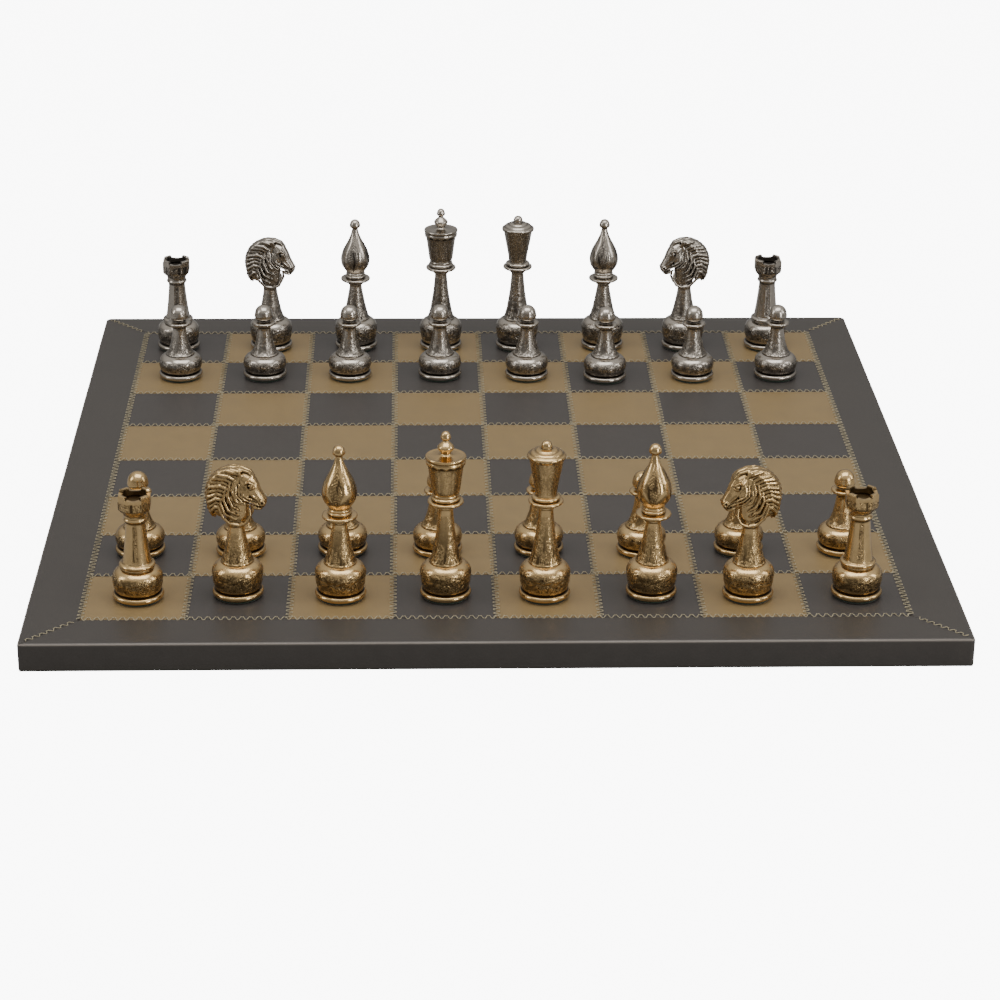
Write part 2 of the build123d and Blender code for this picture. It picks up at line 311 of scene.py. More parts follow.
def add_panel(bm, x, y, settings):
    """One playing square: a leather panel with its edges drawn down into the seams."""
    half = (SQUARE - PANEL_GAP) / 2
    divisions = settings.panel_divisions
    grid = bmesh.ops.create_grid(bm, x_segments=divisions, y_segments=divisions, size=1.0)["verts"]
    for vert in grid:
        u = half * math.sin(vert.co.x * math.pi / 2)
        v = half * math.sin(vert.co.y * math.pi / 2)
        dip = seam_roll(half - max(abs(u), abs(v)), settings)
        swell = settings.ripple * noise.noise(Vector((x + u, y + v, 0)) / settings.ripple_size)
        vert.co = (x + u, y + v, TOP - dip - settings.ripple + swell)
    rim = dict.fromkeys(e for v in grid for e in v.link_edges if e.is_boundary)
    skirt = bmesh.ops.extrude_edge_only(bm, edges=list(rim))["geom"]
    for vert in (item for item in skirt if isinstance(item, bmesh.types.BMVert)):
        vert.co.z = TOP - LEATHER
    foot = [e for e in skirt if isinstance(e, bmesh.types.BMEdge) and e.is_boundary]
    bmesh.ops.edgeloop_fill(bm, edges=foot)


def make_panels(shade, parity, material, settings):
    """All the playing squares of one shade."""
    bm = bmesh.new()
    for file in range(SQUARES):
        for rank in range(SQUARES):
            if (file + rank) % 2 == parity:
                middle = (SQUARES - 1) / 2
                add_panel(bm, (file - middle) * SQUARE, (rank - middle) * SQUARE, settings)
    bmesh.ops.recalc_face_normals(bm, faces=bm.faces)
    finish_piece(bm, f"{shade}_leather_panels", material, [f"{shade}_squares"])


def border_section(settings):
    """The border leather's cross-section, as (distance out from the field, height) points."""
    width = HALF_BOARD - HALF_FIELD
    bend = settings.edge_radius
    fold = settings.fold_radius
    points = [(0.0, TOP - LEATHER), (0.0, TOP - settings.seam_dip)]
    flat = width - bend
    steps = settings.section_steps
    near = [0.3, 0.7, 1.2, 1.8]
    points += [(d, TOP - seam_roll(d, settings)) for d in near]
    points += [(near[-1] + (flat - near[-1]) * i / steps, TOP) for i in range(1, steps + 1)]
    turns = 6
    for i in range(1, turns + 1):
        angle = math.pi / 2 * i / turns
        points.append((flat + bend * math.sin(angle), TOP - bend + bend * math.cos(angle)))
    for i in range(turns + 1):
        angle = math.pi / 2 * i / turns
        points.append((width - fold + fold * math.cos(angle), fold - fold * math.sin(angle)))
    under = HALF_BOARD - LINING_HIGH.x - settings.lining_gap
    points.append((width - under, 0.0))
    points.append((width - under, LINING_HIGH.z))
    points.append((width - LEATHER, LINING_HIGH.z))
    points.append((width - LEATHER, TOP - LEATHER))
    return points


def add_border_strip(bm, turn, settings):
    """One mitred strip: its section is drawn along the edge, longer the further out it lies."""
    section = border_section(settings)
    ring = [bm.verts.new((-(HALF_FIELD + d), -(HALF_FIELD + d), h)) for d, h in section]
    edges = [bm.edges.new((a, b)) for a, b in zip(ring, ring[1:] + ring[:1])]
    first = list(edges)
    made = list(ring)
    previous = -1.0
    for step in range(1, settings.border_divisions + 1):
        share = -math.cos(math.pi * step / settings.border_divisions)
        grown = bmesh.ops.extrude_edge_only(bm, edges=edges)["geom"]
        verts = [item for item in grown if isinstance(item, bmesh.types.BMVert)]
        for vert in verts:
            vert.co.x += (share - previous) * -vert.co.y
        edges = [e for e in grown if isinstance(e, bmesh.types.BMEdge) and all(v in verts for v in e.verts)]
        made += verts
        previous = share
    bmesh.ops.edgeloop_fill(bm, edges=first)
    bmesh.ops.edgeloop_fill(bm, edges=edges)
    for vert in made:
        if vert.co.z > TOP - LEATHER / 2:
            from_mitre = (-vert.co.y - abs(vert.co.x)) / math.sqrt(2)
            vert.co.z -= seam_roll(from_mitre, settings)
            place = Vector((vert.co.x, vert.co.y, turn * HALF_BOARD)) / settings.ripple_size
            vert.co.z -= settings.ripple * (0.5 + 0.5 * noise.noise(place))
        outer = -vert.co.y > HALF_BOARD - LEATHER / 2
        if outer:
            wave = noise.noise(Vector((vert.co.x / settings.wave_size, vert.co.z / SQUARE, turn)))
            vert.co.y += settings.wave * (0.5 + 0.5 * wave)
        round_corner(vert, settings.corner_radius)
    bmesh.ops.rotate(bm, cent=(0, 0, 0), matrix=Matrix.Rotation(turn * math.pi / 2, 3, "Z"), verts=made)


def round_corner(vert, radius):
    """Pull a vertex in to the board's rounded corner."""
    inset = HALF_BOARD - radius
    across = Vector((abs(vert.co.x) - inset, abs(vert.co.y) - inset))
    if min(across) > 0 and across.length > radius:
        across *= radius / across.length
        vert.co.x = math.copysign(inset + across.x, vert.co.x)
        vert.co.y = math.copysign(inset + across.y, vert.co.y)


def mark_edge_highlight(bm, radius):
    """Note how far each vertex lies on the crest of the board's rounded upper edge, where a highlight is
    painted on the leather.
    """
    sharpness = 8
    edge_highlight = bm.verts.layers.float.new("edge_highlight")
    for vert in bm.verts:
        outwards = max(abs(vert.co.x), abs(vert.co.y)) - (HALF_BOARD - radius)
        above = vert.co.z - (TOP - radius)
        if outwards > 0 and above > 0:
            # The mask peaks halfway round the bend, where the overhead softbox's highlight falls.
            vert[edge_highlight] = math.sin(2 * math.atan2(outwards, above)) ** sharpness


def make_border(settings):
    """The four border strips."""
    material = material_named("border_leatherette")
    for turn, side in enumerate(("front", "right", "back", "left")):
        bm = bmesh.new()
        add_border_strip(bm, turn, settings)
        mark_edge_highlight(bm, settings.edge_radius)
        bmesh.ops.recalc_face_normals(bm, faces=bm.faces)
        finish_piece(bm, f"{side}_border_leather", material, [f"border_{side}"])


def zigzag(start, end, width, settings):
    """Points of one row of zigzag stitches from start to end: it crosses the seam at each stitch,
    and dips into a needle hole at each turn."""
    start, end = Vector((*start, 0)), Vector((*end, 0))
    run = end - start
    along = run.normalized()
    across = Vector((-along.y, along.x, 0)) * width / 2
    teeth = max(1, round(run.length / settings.stitch_pitch))
    pitch = run.length / teeth
    up = settings.thread_rise
    # Each tooth: hole on one side, over the seam, hole on the other side, and back.
    tooth = (
        (0.0, 1.0, -up),
        (0.14, 0.9, up),
        (0.36, -0.9, up),
        (0.5, -1.0, -up),
        (0.64, -0.9, up),
        (0.86, 0.9, up),
    )
    points = []
    for index in range(teeth):
        for share, side, lift in tooth:
            place = start + along * (index + share) * pitch + across * side
            points.append((place.x, place.y, TOP + lift))
    return points


def make_stitching(name, rows, width, node, settings):
    """Rows of zigzag thread, as one tube along each row."""
    curve = bpy.data.curves.new(name, "CURVE")
    curve.dimensions = "3D"
    curve.bevel_depth = settings.thread_thickness / 2
    curve.bevel_resolution = 1
    curve.use_fill_caps = True
    for start, end in rows:
        points = zigzag(start, end, width, settings)
        spline = curve.splines.new("POLY")
        spline.points.add(len(points) - 1)
        for point, place in zip(spline.points, points):
            point.co = (*place, 1.0)
    tube = bpy.data.objects.new(name, curve)
    mesh = bpy.data.meshes.new_from_object(tube)
    bpy.data.objects.remove(tube)
    bpy.data.curves.remove(curve)
    bm = bmesh.new()
    bm.from_mesh(mesh)
    bpy.data.meshes.remove(mesh)
    finish_piece(bm, name, material_named("waxed_thread"), [node])


def seam_rows():
    """Both ends of every seam of the field."""
    rows = []
    for line in range(SQUARES + 1):
        offset = (line - SQUARES / 2) * SQUARE
        rows.append(((-HALF_FIELD, offset), (HALF_FIELD, offset)))
        rows.append(((offset, -HALF_FIELD), (offset, HALF_FIELD)))
    return rows


def mitre_rows(settings):
    """Both ends of the stitching along each mitre."""
    inner = HALF_FIELD + settings.stitch_width
    outer = HALF_BOARD - settings.mitre_margin
    signs = ((1, 1), (-1, 1), (-1, -1), (1, -1))
    return [((inner * x, inner * y), (outer * x, outer * y)) for x, y in signs]


# --- Outlines of the turned parts --------------------------------------------------
# An outline is a list of (radius, height) points, in millimetres, from the foot to the top.

# Heights of the ball base's widest part and of its top.
TALL_BALL = (9.8, 16.2)
ROOK_BALL = (9.8, 14.4)
PAWN_BALL = (6.9, 12.6)

def arc_to(outline, end, sagitta, steps=10):
    """Go on to end along a circular arc that bulges outwards by sagitta, or inwards if negative."""
    start = outline[-1]
    dx, dy = end[0] - start[0], end[1] - start[1]
    chord = math.hypot(dx, dy)
    normal = (dy / chord, -dx / chord)
    radius = (chord * chord / 4 + sagitta * sagitta) / (2 * abs(sagitta))
    half_angle = math.asin(min(1.0, chord / 2 / radius))
    if abs(sagitta) > radius:
        half_angle = math.pi - half_angle
    for i in range(1, steps + 1):
        angle = half_angle * (2 * i / steps - 1)
        along = radius * math.sin(angle) / chord + 0.5
        out = math.copysign(radius * math.cos(angle) - radius + abs(sagitta), sagitta)
        outline.append((start[0] + dx * along + normal[0] * out, start[1] + dy * along + normal[1] * out))


def curve_to(outline, *points, steps=8):
    """Go on through a few points along a smooth curve that starts at the last point."""
    knots = [Vector(p) for p in (outline[-1], *points)]
    ends = [2 * knots[0] - knots[1], *knots, 2 * knots[-1] - knots[-2]]
    for a, b, c, d in zip(ends, ends[1:], ends[2:], ends[3:]):
        for i in range(1, steps + 1):
            t = i / steps
            spot = 0.5 * (
                2 * b + (c - a) * t + (2 * a - 5 * b + 4 * c - d) * t * t + (3 * b - 3 * c + d - a) * t**3
            )
            outline.append(tuple(spot))


def step_to(outline, *points):
    """Go on through points along straight lines."""
    outline.extend(points)


def even_outline(outline, spacing):
    """The same outline in even steps, with its corners slightly rounded as a casting's are."""
    spots = [Vector(outline[0])]
    for a, b in zip(outline, outline[1:]):
        a, b = Vector(a), Vector(b)
        count = max(1, round((b - a).length / spacing))
        spots += [a.lerp(b, i / count) for i in range(1, count + 1)]
    merged = [spots[0]]
    for spot in spots[1:]:
        if (spot - merged[-1]).length > spacing * 0.45:
            merged.append(spot)
    if (merged[-1] - spots[-1]).length > 0:
        merged[-1] = spots[-1]
    rounded = [(a + 2 * b + c) / 4 for a, b, c in zip(merged, merged[1:], merged[2:])]
    return [merged[0], *rounded, merged[-1]]


def lathe(bm, outline, spacing, steps):
    """Spin an outline about the man's axis into a closed shell."""
    spots = even_outline(outline, spacing)
    verts = [bm.verts.new((spot.x, 0, spot.y)) for spot in spots]
    edges = [bm.edges.new(pair) for pair in zip(verts, verts[1:])]
    turn = {"cent": (0, 0, 0), "axis": (0, 0, 1), "angle": 2 * math.pi, "steps": steps}
    bmesh.ops.spin(bm, geom=verts + edges, use_merge=True, **turn)
    bmesh.ops.remove_doubles(bm, verts=bm.verts, dist=0.005)
    bmesh.ops.recalc_face_normals(bm, faces=bm.faces)


def foot_outline(settings, ball_middle, ball_top):
    """Foot ring, groove and ball base, up to the lip that carries the stem."""
    outline = [(0.0, settings.pad_height), (10.4, settings.pad_height)]
    arc_to(outline, (10.5, 3.4), 0.6, 8)
    step_to(outline, (9.75, 3.5), (9.6, 4.0))
    arc_to(outline, (10.8, ball_middle), 0.35 * (ball_middle - 4) / 6, 8)
    arc_to(outline, (6.9, ball_top), 1.75 * (ball_top - ball_middle) / 6.4, 12)
    step_to(outline, (7.25, ball_top + 0.15), (7.25, ball_top + 0.75), (6.85, ball_top + 0.95))
    return outline


def collar_outline(outline, radius, height):
    """Thin round collar whose lower edge is at this height, with its small undercut ring."""
    stem = outline[-1][0]
    step_to(outline, (stem + 0.7, height - 2.3), (stem + 0.9, height - 1.7), (stem + 0.5, height - 1.2))
    step_to(outline, (radius - 0.4, height))
    arc_to(outline, (radius - 0.4, height + 1.5), 0.45, 6)


def king_outline(settings):
    """King: crown that widens upwards, a dished plate, a spindle and a small ball."""
    outline = foot_outline(settings, *TALL_BALL)
    curve_to(outline, (5.9, 20.2), (4.85, 25.6), (3.95, 31.6), (3.25, 38.6), (3.1, 41.0))
    collar_outline(outline, 7.7, 43.4)
    step_to(outline, (5.9, 45.0), (5.9, 45.3))
    arc_to(outline, (5.9, 46.6), 0.5, 5)
    step_to(outline, (5.5, 46.8))
    arc_to(outline, (5.5, 48.0), 0.4, 5)
    curve_to(outline, (6.1, 49.4), (6.6, 53.0), (7.1, 57.0), (7.6, 60.4))
    step_to(outline, (7.9, 60.6))
    arc_to(outline, (8.3, 63.2), 0.35, 7)
    step_to(outline, (8.0, 63.4), (8.5, 63.7))
    arc_to(outline, (8.5, 65.1), 0.25, 4)
    curve_to(outline, (6.5, 64.9), (3.2, 65.2), (2.0, 66.2))
    curve_to(outline, (2.6, 67.0), (3.6, 68.6), (3.1, 69.8), (1.6, 71.2), (1.2, 71.7))
    step_to(outline, (1.15, 72.1))
    arc_to(outline, (2.0, 74.0), 0.66, 6)
    arc_to(outline, (0.0, 76.0), 0.59, 8)
    return outline


def queen_outline(settings):
    """Queen: slimmer crown under a stepped dome with a button on top."""
    outline = foot_outline(settings, *TALL_BALL)
    curve_to(outline, (5.95, 20.2), (4.9, 25.6), (4.0, 31.6), (3.3, 39.0), (3.15, 41.4))
    collar_outline(outline, 7.5, 43.8)
    step_to(outline, (5.7, 45.4), (5.7, 45.7))
    arc_to(outline, (5.7, 47.1), 0.55, 5)
    step_to(outline, (4.6, 47.4))
    curve_to(outline, (4.9, 50.4), (5.6, 54.4), (6.35, 58.2), (7.0, 61.8), (7.4, 63.8))
    step_to(outline, (7.95, 64.2))
    arc_to(outline, (7.95, 66.1), 0.4, 5)
    step_to(outline, (7.3, 66.2), (7.0, 66.4), (6.9, 66.9))
    arc_to(outline, (5.2, 67.5), 0.2, 4)
    step_to(outline, (4.9, 67.5), (4.8, 67.9))
    arc_to(outline, (3.7, 68.4), 0.15, 4)
    step_to(outline, (2.4, 68.5), (2.3, 69.2))
    arc_to(outline, (2.2, 70.6), 0.15, 3)
    arc_to(outline, (0.0, 72.0), 0.5, 8)
    return outline


def bishop_outline(settings):
    """Bishop: a long pointed mitre with a ball on its tip."""
    outline = foot_outline(settings, *TALL_BALL)
    curve_to(outline, (5.9, 20.2), (4.85, 24.6), (3.9, 29.6), (3.25, 33.4), (3.15, 35.0))
    collar_outline(outline, 7.6, 37.2)
    step_to(outline, (4.9, 38.8), (4.9, 39.1))
    arc_to(outline, (4.9, 40.2), 0.4, 5)
    step_to(outline, (4.6, 40.4))
    arc_to(outline, (4.6, 41.4), 0.4, 5)
    step_to(outline, (4.5, 41.7))
    curve_to(outline, (5.6, 43.3), (6.9, 45.4), (7.5, 48.0), (7.35, 50.4), (6.4, 53.7))
    curve_to(outline, (5.1, 56.2), (3.6, 58.9), (2.4, 61.6), (1.6, 64.4), (1.5, 65.4))
    arc_to(outline, (2.6, 67.6), 0.7, 6)
    arc_to(outline, (0.0, 70.0), 0.75, 8)
    return outline


def pawn_outline(settings):
    """Pawn: a ball head over a thin collar, on a short flared stem."""
    outline = foot_outline(settings, *PAWN_BALL)
    curve_to(outline, (5.9, 14.9), (4.7, 18.4), (3.85, 22.4), (3.3, 26.0))
    step_to(outline, (3.5, 26.5), (3.3, 27.0), (5.5, 28.4))
    arc_to(outline, (5.5, 29.9), 0.45, 6)
    step_to(outline, (3.4, 30.2), (3.0, 30.9))
    arc_to(outline, (4.5, 34.2), 0.85, 8)
    arc_to(outline, (0.0, 38.7), 1.32, 12)
    return outline


def rook_outline(settings):
    """Rook: a tapered tower on a thin ring, that opens into a cup with a round well."""
    outline = foot_outline(settings, *ROOK_BALL)
    step_to(outline, (7.4, 15.4))
    arc_to(outline, (7.2, 17.0), 0.5, 6)
    step_to(outline, (6.3, 17.3))
    curve_to(outline, (5.9, 20.0), (5.3, 24.3), (4.6, 31.0), (4.2, 36.0))
    step_to(outline, (4.9, 36.6))
    arc_to(outline, (4.9, 37.8), 0.35, 4)
    step_to(outline, (4.7, 38.1), (4.8, 39.2))
    curve_to(outline, (5.3, 40.2), (6.3, 41.3), (6.8, 42.2))
    step_to(outline, (7.0, 42.6), (7.0, 49.0), (5.3, 49.0), (5.2, 45.0), (0.0, 44.9))
    return outline


def battlement(bm):
    """Turn the rook's round cup into a square with cut corners, and cut a dip into each side."""
    side, corner, floor, top = 6.75, 7.15, 47.3, 49.0
    bell_low, bell_high = 40.4, 42.4
    cup, skin, rim = 7.0, 5.6, 5.25
    dip = math.radians(28)
    for vert in bm.verts:
        spot = vert.co
        if spot.z < bell_low:
            continue
        angle = math.atan2(spot.y, spot.x)
        from_side = (angle + math.pi / 4) % (math.pi / 2) - math.pi / 4
        from_corner = angle % (math.pi / 2) - math.pi / 4
        flat = min(side / math.cos(from_side), corner / math.cos(from_corner))
        radius = math.hypot(spot.x, spot.y)
        if radius > skin:
            blend = smoothstep(bell_low, bell_high, spot.z)
            share = 1 + blend * (flat / cup - 1)
            spot.x *= share
            spot.y *= share
        if radius > rim and spot.z > floor:
            across = abs(from_side) / dip
            limit = floor + 0.5 * across * across if across < 1 else top
            spot.z = min(spot.z, limit)


# --- Relief on the castings --------------------------------------------------------


def scrollwork(spot, size):
    """Depth of a running scroll pattern at a place, 0 on its raised leaves and 1 in its grooves."""
    bend = noise.noise(spot / (size * 1.7))
    field = noise.noise(Vector((spot.x / size + bend, spot.y / size - bend, spot.z / size)))
    return 1 - smoothstep(0.03, 0.2, abs(field))


def hollowness(vert):
    """How far a vertex lies below the middle of its neighbours, in millimetres."""
    middle = sum((e.other_vert(vert).co for e in vert.link_edges), Vector()) / len(vert.link_edges)
    return (middle - vert.co).dot(vert.normal)


def set_relief(bm, relief, settings):
    """Push each vertex in or out along its normal, and note how dark its patina is and how
    closely it is engraved."""
    patina_layer = bm.verts.layers.float.new("patina")
    carving_layer = bm.verts.layers.float.new("carving")
    bm.normal_update()
    moved = []
    for vert in bm.verts:
        angle = math.atan2(vert.co.y, vert.co.x)
        offset, patina, carving = relief(vert.co.copy(), angle, vert.co.z, settings)
        patina = min(1.0, patina + smoothstep(0.005, 0.07, hollowness(vert)))
        moved.append((vert, vert.normal * offset, patina, carving))
    for vert, shift, patina, carving in moved:
        vert.co += shift
        vert[patina_layer] = patina
        vert[carving_layer] = carving


def foot_and_stem(spot, height, ball_top, stem_top, settings):
    """Scrollwork round the ball base and the foot of the stem, with plain bands between them."""
    on_ball = band(height, 5.6, ball_top - 2.6, 0.5)
    on_stem = band(height, ball_top + 1.2, stem_top, 0.8)
    on_stem *= 1 - 0.6 * smoothstep(ball_top, stem_top, height)
    weight = max(on_ball, on_stem)
    groove = scrollwork(spot, settings.scroll_size) * weight if weight > 0 else 0.0
    # The groove over the foot ring keeps its patina.
    ring = band(height, 3.5, 4.3, 0.25)
    return -settings.scroll_depth * groove, max(0.7 * groove, 0.95 * ring), weight


def king_relief(spot, angle, height, settings):
    """Shallow flutes with scrolls between them round the crown, and a scalloped band under the rim."""
    offset, patina, carving = foot_and_stem(spot, height, TALL_BALL[1], 38.0, settings)
    crown = 0.45 * band(height, 49.0, 60.0, 0.5)
    flute = 1 - smoothstep(0.0, 0.3, abs(math.cos(4 * angle)))
    offset -= crown * 0.22 * flute
    patina += crown * 0.45 * flute
    scallops = band(height, 60.7, 62.9, 0.3)
    drop = 61.0 + 1.1 * abs(math.cos(7 * angle))
    gap = 1 - smoothstep(drop - 0.5, drop + 0.3, height)
    offset -= 0.35 * scallops * gap
    patina += 0.85 * scallops * gap
    return offset, patina, max(carving, crown)


def queen_relief(spot, angle, height, settings):
    """Shallow flutes round the crown and a notched rim."""
    offset, patina, carving = foot_and_stem(spot, height, TALL_BALL[1], 38.0, settings)
    crown = 0.45 * band(height, 48.6, 63.4, 0.4)
    flute = 1 - smoothstep(0.0, 0.3, abs(math.cos(5 * angle)))
    offset -= crown * 0.2 * flute
    patina += crown * 0.4 * flute
    notches = band(height, 64.0, 65.0, 0.2) * (1 - smoothstep(0.1, 0.5, abs(math.cos(12 * angle))))
    offset -= 0.25 * notches
    patina += 0.8 * notches
    return offset, patina, max(carving, crown)


def bishop_relief(spot, angle, height, settings):
    """Smooth pointed leaves round the mitre, with herringbone between them."""
    offset, patina, carving = foot_and_stem(spot, height, TALL_BALL[1], 32.0, settings)
    mitre = band(height, 43.6, 61.0, 1.0)
    # Each leaf is widest at the mitre's middle and ends in a point above and below.
    leaf = 0.75 * math.sin(math.pi * min(1.0, max(0.0, (height - 43.0) / 17.5)))
    beside = abs(math.cos(2 * angle + math.radians(110)))
    edge = abs(beside - leaf)
    line = 1 - smoothstep(0.0, 0.09, edge)
    inside = mitre * (1 - smoothstep(leaf - 0.1, leaf, beside))
    rib = 0.5 + 0.5 * math.cos(2 * math.pi * (height + 2.4 * beside) / 1.3)
    offset -= mitre * 0.22 * line + inside * 0.2 * rib
    patina += mitre * 0.6 * line + inside * 0.75 * rib
    return offset, patina, max(carving, inside)


def knight_relief(spot, angle, height, settings):
    """Scrollwork on the knight's ball base and stem."""
    return foot_and_stem(spot, height, TALL_BALL[1], 30.0, settings)


def pawn_relief(spot, angle, height, settings):
    """Scrollwork on the ball base and the foot of the stem."""
    return foot_and_stem(spot, height, PAWN_BALL[1], 22.0, settings)


def rook_relief(spot, angle, height, settings):
    """Scrollwork on the ball base, the tower's panels and the sides of the cup."""
    offset, patina, carving = foot_and_stem(spot, height, ROOK_BALL[1], 15.6, settings)
    panel = band(height, 19.0, 34.6, 0.4) * (1 - smoothstep(0.35, 0.5, abs(math.sin(2 * angle))))
    radius = math.hypot(spot.x, spot.y)
    cup = band(height, 42.2, 46.0, 0.3) if radius > 6 else 0.0
    well = 0.75 if height > 44 and radius < 5.6 else 0.0
    offset -= 0.18 * panel
    patina += 0.25 * panel + well
    return offset, patina, max(carving, panel, cup)


# --- Knight ------------------------------------------------------------------------


def add_limb(bm, spine, widths, depths, sides=12):
    """A closed limb along a spine of (x, y, z) points, with an oval section at each: widths are
    half-widths across Y, and depths are half-widths in the plane of the head."""
    rings = []
    for index, point in enumerate(spine):
        before = Vector(spine[max(0, index - 1)])
        after = Vector(spine[min(len(spine) - 1, index + 1)])
        along = (after - before).normalized()
        across = Vector((0, 1, 0))
        if abs(along.dot(across)) > 0.95:
            across = Vector((1, 0, 0))
        depth_axis = across.cross(along).normalized()
        width_axis = along.cross(depth_axis).normalized()
        turn = Matrix((depth_axis, width_axis, along)).transposed().to_4x4()
        size = Matrix.Diagonal((depths[index], widths[index], 1.0, 1.0))
        ring = bmesh.ops.create_circle(
            bm, segments=sides, radius=1.0, matrix=Matrix.Translation(point) @ turn @ size
        )["verts"]
        rings.append(ring)
    for low, high in zip(rings, rings[1:]):
        loops = dict.fromkeys(e for ring in (low, high) for v in ring for e in v.link_edges)
        pair = [e for e in loops if all(v in low for v in e.verts) or all(v in high for v in e.verts)]
        bmesh.ops.bridge_loops(bm, edges=pair)
    for ring in (rings[0], rings[-1]):
        bmesh.ops.contextual_create(bm, geom=ring)


def add_blob(bm, centre, size, sides=16):
    """An egg-shaped lump of these half-sizes."""
    matrix = Matrix.Translation(centre) @ Matrix.Diagonal((*size, 1.0))
    bmesh.ops.create_uvsphere(bm, u_segments=sides, v_segments=sides // 2, radius=1.0, matrix=matrix)


def add_ridge(bm, side, spine, widths, depths, sides=8):
    """A thin limb on one side of the head: its places are given for the side where Y is positive."""
    add_limb(bm, [(x, side * y, z) for x, y, z in spine], widths, depths, sides)


def model_horse(bm):
    """The knight's horse head, muzzle along +X, built up from limbs and lumps."""
    # Neck, arched from the stem up to the poll.
    add_limb(
        bm,
        [(0.4, 0, 33.4), (0.6, 0, 37.0), (-0.6, 0, 42.0), (-0.8, 0, 47.5), (0.4, 0, 52.5), (2.4, 0, 56.0)],
        [3.0, 3.6, 3.9, 3.9, 3.6, 3.0],
        [3.3, 5.2, 6.4, 6.4, 5.4, 3.8],
    )
    # Skull and muzzle, from the poll down to the lips.
    add_limb(
        bm,
        [(1.8, 0, 56.4), (4.6, 0, 54.0), (6.2, 0, 50.8), (8.0, 0, 47.8), (10.0, 0, 45.4), (11.6, 0, 43.8)],
        [2.6, 3.7, 3.9, 3.4, 3.0, 2.6],
        [2.6, 4.5, 4.6, 3.9, 3.3, 2.5],
    )
    # The mane's body, under its locks.
    body = []
    for angle in (math.radians(degrees) for degrees in range(95, 250, 22)):
        body.append((-2.4 + 6.6 * math.cos(angle), 0, 46.6 + 8.6 * math.sin(angle)))
    add_limb(bm, body, [1.6] + [2.6] * 6 + [2.0], [2.4] + [4.2] * 6 + [3.0])
    for side in (-1, 1):
        add_face(bm, side)
        add_neck_strands(bm, side)
        add_mane(bm, side)
    # Forelock, swept up and back between the ears.
    for shift in (-1.4, -0.5, 0.5, 1.4):
        spine = [(8.4, shift, 55.6), (6.2, shift * 1.3, 58.0)]
        spine += [(2.6, shift * 1.5, 59.2), (-1.6, shift * 1.5, 58.9)]
        add_limb(bm, spine, [0.25, 0.55, 0.6, 0.3], [0.3, 0.6, 0.7, 0.3], 8)


def add_face(bm, side):
    """Cheek, eye, brow, nostril, lips and ear on one side."""
    add_blob(bm, (3.6, side * 2.3, 48.8), (3.9, 2.0, 4.4))
    add_blob(bm, (11.4, side * 1.1, 44.2), (1.9, 1.7, 2.3))
    add_blob(bm, (10.0, side * 0.9, 41.9), (1.9, 1.4, 1.2))
    add_blob(bm, (7.4, side * 3.7, 52.4), (1.0, 0.7, 0.75))
    # Each of these is a ridge: its places, its half-widths across Y and its half-widths in profile.
    ridges = (
        ([(4.8, 3.4, 53.0), (6.6, 4.0, 54.4), (8.8, 3.2, 53.0)], [0.4, 0.85, 0.4], [0.5, 0.75, 0.4]),
        ([(5.6, 3.5, 51.8), (7.2, 3.8, 51.2), (8.8, 3.2, 51.6)], [0.25, 0.45, 0.25], [0.25, 0.4, 0.25]),
        ([(6.0, 3.4, 49.6), (8.2, 3.2, 47.6), (10.4, 2.8, 45.6)], [0.3, 0.55, 0.3], [0.3, 0.5, 0.3]),
        ([(7.0, 2.8, 45.4), (9.0, 2.9, 44.0), (11.4, 2.4, 42.6)], [0.3, 0.5, 0.3], [0.3, 0.5, 0.3]),
        ([(6.6, 2.4, 43.4), (8.8, 2.4, 42.2), (11.0, 2.0, 41.5)], [0.4, 0.8, 0.5], [0.5, 0.9, 0.5]),
        ([(2.8, 2.2, 55.8), (2.2, 3.0, 58.0), (0.6, 3.2, 59.4)], [0.9, 0.8, 0.15], [1.2, 1.0, 0.2]),
    )
    # Lines that follow the cheek round and run on along the jaw.
    for step in range(3):
        cheek = [(0.8 + 1.5 * step, 3.5, 52.8), (0.9 + 1.5 * step, 4.3, 48.2)]
        cheek += [(3.6 + 1.2 * step, 4.1, 45.0 + step), (8.2, 2.9, 43.2 + 1.2 * step)]
        add_ridge(bm, side, cheek, [0.2, 0.4, 0.45, 0.2], [0.25, 0.42, 0.42, 0.25])
    for places, widths, depths in ridges:
        add_ridge(bm, side, places, widths, depths, 10)
    # The nostril is a ring, so that its middle stays hollow.
    for turn in range(6):
        angle = turn * math.pi / 3
        spot = (11.9 + 0.9 * math.cos(angle), side * 2.75, 44.5 + 0.9 * math.sin(angle))
        add_blob(bm, spot, (0.5, 0.4, 0.5), 8)


def add_neck_strands(bm, side):
    """Strands that curve down the neck, and the raised rim where it is cut round over the stem."""
    strands = (
        [(0.4, 3.3, 54.6), (-0.6, 4.1, 49.6), (1.2, 4.4, 45.2), (5.4, 3.6, 43.0)],
        [(-1.6, 3.3, 53.6), (-2.6, 4.2, 47.6), (-0.6, 4.5, 43.0), (3.6, 3.9, 40.8)],
        [(-3.4, 3.1, 51.6), (-4.4, 4.0, 45.6), (-2.4, 4.3, 41.0), (2.0, 4.0, 38.6)],
        [(-5.0, 2.7, 49.0), (-5.8, 3.5, 43.6), (-4.0, 3.9, 39.2), (0.6, 3.8, 36.6)],
    )
    for strand in strands:
        add_ridge(bm, side, strand, [0.3, 0.6, 0.6, 0.2], [0.35, 0.7, 0.7, 0.25])
    rim = [(6.2, 2.2, 42.0), (6.7, 2.8, 38.6), (5.2, 3.2, 35.4), (1.8, 3.3, 33.9)]
    rim += [(-1.8, 3.3, 34.4), (-5.0, 3.4, 37.4), (-6.8, 3.2, 41.6), (-7.0, 2.6, 45.6)]
    widths = [0.4, 0.65, 0.7, 0.75, 0.75, 0.7, 0.6, 0.4]
    add_ridge(bm, side, rim, widths, [0.5, 0.7, 0.75, 0.8, 0.8, 0.75, 0.65, 0.4])


